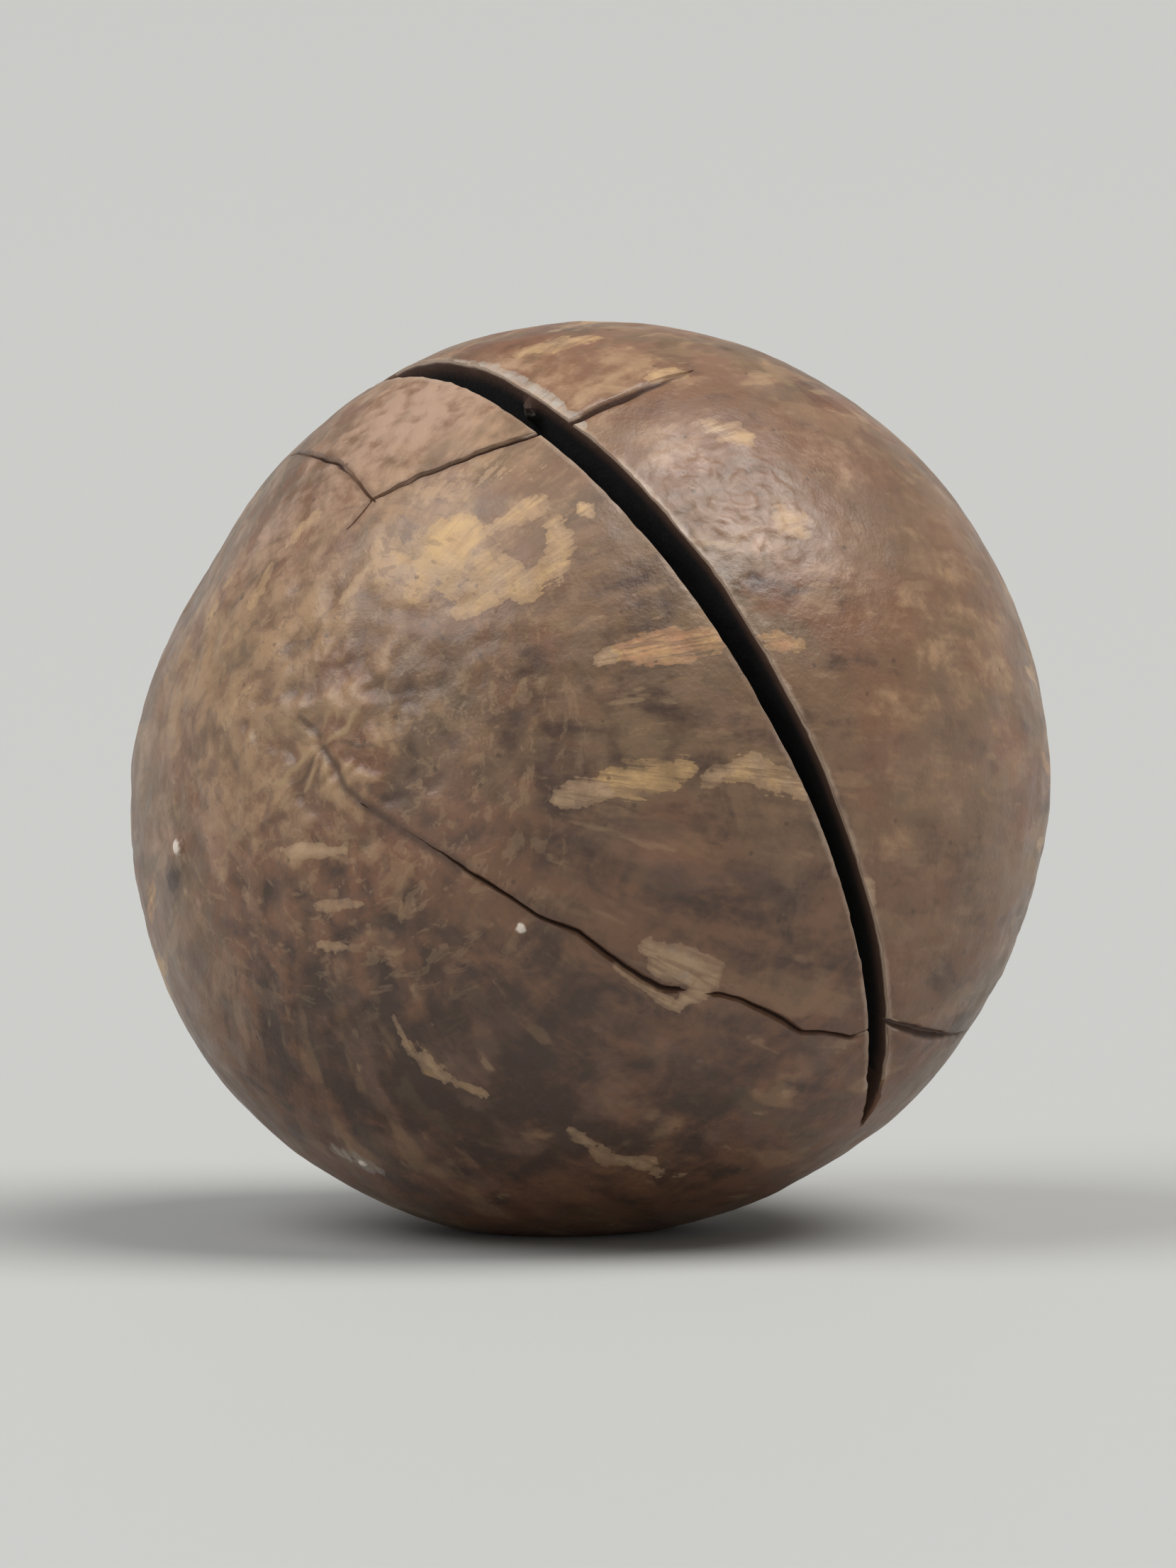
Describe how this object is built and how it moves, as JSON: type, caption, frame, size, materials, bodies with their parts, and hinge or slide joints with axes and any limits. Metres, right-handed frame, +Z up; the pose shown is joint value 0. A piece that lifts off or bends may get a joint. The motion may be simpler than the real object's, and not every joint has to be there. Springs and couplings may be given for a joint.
{
  "type": "macadamia nut in shell",
  "caption": "Round brown nut in its hard shell, with a narrow saw cut part of the way round, fine cracks and a small flat spot to rest on.",
  "frame": {"origin": "middle of the small flat spot that the nut rests on", "axes": "+Z up, the front of the nut towards -Y and +X to its right as seen from the front"},
  "size_m": [0.0251, 0.025, 0.0247],
  "materials": {
    "shell": "satin"
  },
  "bodies": {
    "root": {"nut": "shell"}
  },
  "joints": []
}
